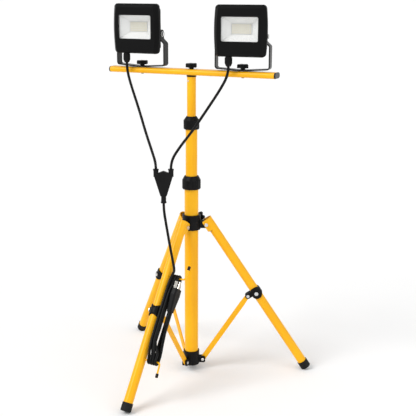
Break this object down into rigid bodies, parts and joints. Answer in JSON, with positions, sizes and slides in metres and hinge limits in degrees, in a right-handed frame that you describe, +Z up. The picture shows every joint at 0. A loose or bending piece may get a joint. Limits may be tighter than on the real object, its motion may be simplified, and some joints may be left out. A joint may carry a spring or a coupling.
{
  "type": "tripod work light",
  "caption": "Portable twin-head LED work light: panning, tilting heads on a crossbar over a telescopic mast and a folding tripod, with its cord wound on hooks.",
  "frame": {"origin": "on the floor under the middle of the light's outline without its cord", "axes": "+Z up along the mast, +X along the crossbar, the lamps face -Y"},
  "size_m": [0.4626, 0.4292, 0.802],
  "materials": {
    "yellow_paint": "glossy powder coat",
    "black_plastic": "satin",
    "gloss_black_plastic": "gloss",
    "zinc_steel": "bright zinc",
    "black_rubber": "matt",
    "cord_sheath": "satin",
    "nickelled_brass": "bright",
    "black_casting": "satin powder coat",
    "black_paint": "semi-gloss",
    "clear_glass": "clear",
    "reflector_metal": "brushed",
    "led_module": "satin"
  },
  "bodies": {
    "mast_base": {"mast_lower_tube": "yellow_paint", "lower_hub": "black_plastic", "lower_hub_rivets": "zinc_steel", "main_cord": "cord_sheath"},
    "lower_collar": {"collar_lower": "black_plastic"},
    "hub": {"tripod_hub": "black_plastic", "hub_bolts": "zinc_steel"},
    "hub_clamp": {"hub_knob": "black_plastic"},
    "right_leg": {"right_leg": "yellow_paint", "right_foot_cap": "black_rubber", "right_saddle": "black_plastic", "right_saddle_bolts": "zinc_steel"},
    "right_brace": {"right_brace": "yellow_paint"},
    "back_leg": {"back_leg": "yellow_paint", "back_foot_cap": "black_rubber", "back_saddle": "black_plastic", "back_saddle_bolts": "zinc_steel"},
    "back_brace": {"back_brace": "yellow_paint"},
    "front_leg": {"front_leg": "yellow_paint", "front_foot_cap": "black_rubber", "front_saddle": "black_plastic", "front_saddle_bolts": "zinc_steel", "cord_hooks": "yellow_paint", "hook_tips": "black_rubber", "cord_hank": "cord_sheath", "plug_body": "cord_sheath", "plug_pins": "nickelled_brass"},
    "front_brace": {"front_brace": "yellow_paint"},
    "mast_middle": {"mast_mid_tube": "yellow_paint"},
    "upper_collar": {"collar_upper": "black_plastic"},
    "mast_top": {"mast_top_tube": "yellow_paint", "mast_top_plug": "black_plastic", "top_plug_screw": "zinc_steel", "splitter": "cord_sheath"},
    "crossbar": {"crossbar": "yellow_paint", "bar_end_plugs": "gloss_black_plastic", "bar_rivet_nuts": "zinc_steel", "lead_left": "cord_sheath", "lead_right": "cord_sheath"},
    "bar_clamp": {"centre_knob": "black_plastic"},
    "left_bracket": {"left_bracket": "black_paint"},
    "left_clamp": {"left_knob": "black_plastic"},
    "left_head": {"left_housing": "black_casting", "left_bezel": "black_casting", "left_gasket": "black_rubber", "left_lens": "clear_glass", "left_reflector": "reflector_metal", "left_led_board": "led_module", "left_gland": "black_plastic", "left_fasteners": "zinc_steel"},
    "right_bracket": {"right_bracket": "black_paint"},
    "right_clamp": {"right_knob": "black_plastic"},
    "right_head": {"right_housing": "black_casting", "right_bezel": "black_casting", "right_gasket": "black_rubber", "right_lens": "clear_glass", "right_reflector": "reflector_metal", "right_led_board": "led_module", "right_gland": "black_plastic", "right_fasteners": "zinc_steel"}
  },
  "joints": [
    {"name": "lower_collar_twist", "type": "hinge", "parent": "mast_base", "child": "lower_collar", "pos_m": [-0.01463, 0.05059, 0.43], "axis": [0, 0, 1], "range_deg": [0, 120]},
    {"name": "tripod_fold", "type": "slide", "parent": "mast_base", "child": "hub", "axis": [0, 0, 1], "range_m": [0, 0.0541], "deforming": ["main_cord"]},
    {"name": "hub_clamp_turn", "type": "hinge", "parent": "hub", "child": "hub_clamp", "pos_m": [-0.01118, 0.08039, 0.345], "axis": [0.1149, 0.9934, 0], "continuous": true},
    {"name": "right_leg_fold", "type": "hinge", "parent": "hub", "child": "right_leg", "pos_m": [0.01474, 0.0633, 0.337], "axis": [-0.3971, 0.9178, 0], "range_deg": [0, 30.1]},
    {"name": "right_brace_fold", "type": "hinge", "parent": "mast_base", "child": "right_brace", "pos_m": [0.00831, 0.06052, 0.022], "axis": [0.3971, -0.9178, 0], "range_deg": [0, 31.88]},
    {"name": "back_leg_fold", "type": "hinge", "parent": "hub", "child": "back_leg", "pos_m": [-0.04032, 0.06967, 0.337], "axis": [-0.5962, -0.8028, 0], "range_deg": [0, 30.1]},
    {"name": "back_brace_fold", "type": "hinge", "parent": "mast_base", "child": "back_brace", "pos_m": [-0.0347, 0.0655, 0.022], "axis": [0.5962, 0.8028, 0], "range_deg": [0, 31.88]},
    {"name": "front_leg_fold", "type": "hinge", "parent": "hub", "child": "front_leg", "pos_m": [-0.01831, 0.0188, 0.337], "axis": [0.9934, -0.1149, 0], "range_deg": [0, 30.1]},
    {"name": "front_brace_fold", "type": "hinge", "parent": "mast_base", "child": "front_brace", "pos_m": [-0.0175, 0.02576, 0.022], "axis": [-0.9934, 0.1149, 0], "range_deg": [0, 31.88]},
    {"name": "middle_tube_slide", "type": "slide", "parent": "mast_base", "child": "mast_middle", "axis": [0, 0, 1], "range_m": [-0.1, 0.22], "deforming": ["lead_left", "lead_right", "main_cord"]},
    {"name": "upper_collar_twist", "type": "hinge", "parent": "mast_middle", "child": "upper_collar", "pos_m": [-0.01463, 0.05059, 0.559], "axis": [0, 0, 1], "range_deg": [0, 120]},
    {"name": "top_tube_slide", "type": "slide", "parent": "mast_middle", "child": "mast_top", "axis": [0, 0, 1], "range_m": [-0.02, 0.24], "deforming": ["lead_left", "lead_right", "main_cord"]},
    {"name": "crossbar_swivel", "type": "hinge", "parent": "mast_top", "child": "crossbar", "pos_m": [-0.01463, 0.05059, 0.664], "axis": [0, 0, 1], "range_deg": [-90, 90], "deforming": ["lead_left", "lead_right", "main_cord"]},
    {"name": "bar_clamp_turn", "type": "hinge", "parent": "crossbar", "child": "bar_clamp", "pos_m": [-0.01463, 0.05059, 0.676], "axis": [0, 0, 1], "continuous": true},
    {"name": "left_pan", "type": "hinge", "parent": "crossbar", "child": "left_bracket", "pos_m": [-0.12913, 0.05059, 0.6708], "axis": [0, 0, 1], "range_deg": [-10, 60], "deforming": ["lead_left", "lead_right"]},
    {"name": "left_tilt", "type": "hinge", "parent": "left_bracket", "child": "left_head", "pos_m": [-0.12913, 0.05059, 0.74], "axis": [0.9994, -0.0349, 0], "range_deg": [-90, 8], "deforming": ["lead_left", "lead_right"]},
    {"name": "left_clamp_turn", "type": "hinge", "parent": "crossbar", "child": "left_clamp", "pos_m": [-0.12913, 0.05059, 0.676], "axis": [0, 0, 1], "continuous": true},
    {"name": "right_pan", "type": "hinge", "parent": "crossbar", "child": "right_bracket", "pos_m": [0.09987, 0.05059, 0.6708], "axis": [0, 0, 1], "range_deg": [-15, 60], "deforming": ["lead_left", "lead_right"]},
    {"name": "right_tilt", "type": "hinge", "parent": "right_bracket", "child": "right_head", "pos_m": [0.09987, 0.05059, 0.74], "axis": [0.9945, 0.1045, 0], "range_deg": [-90, 8], "deforming": ["lead_left", "lead_right"]},
    {"name": "right_clamp_turn", "type": "hinge", "parent": "crossbar", "child": "right_clamp", "pos_m": [0.09987, 0.05059, 0.676], "axis": [0, 0, 1], "continuous": true}
  ],
  "couplings": [
    {"joint": "right_leg_fold", "follows": "tripod_fold", "rad_per_m": 9.6988},
    {"joint": "right_brace_fold", "follows": "tripod_fold", "rad_per_m": 10.273},
    {"joint": "back_leg_fold", "follows": "tripod_fold", "rad_per_m": 9.6988},
    {"joint": "back_brace_fold", "follows": "tripod_fold", "rad_per_m": 10.273},
    {"joint": "front_leg_fold", "follows": "tripod_fold", "rad_per_m": 9.6988},
    {"joint": "front_brace_fold", "follows": "tripod_fold", "rad_per_m": 10.273}
  ]
}
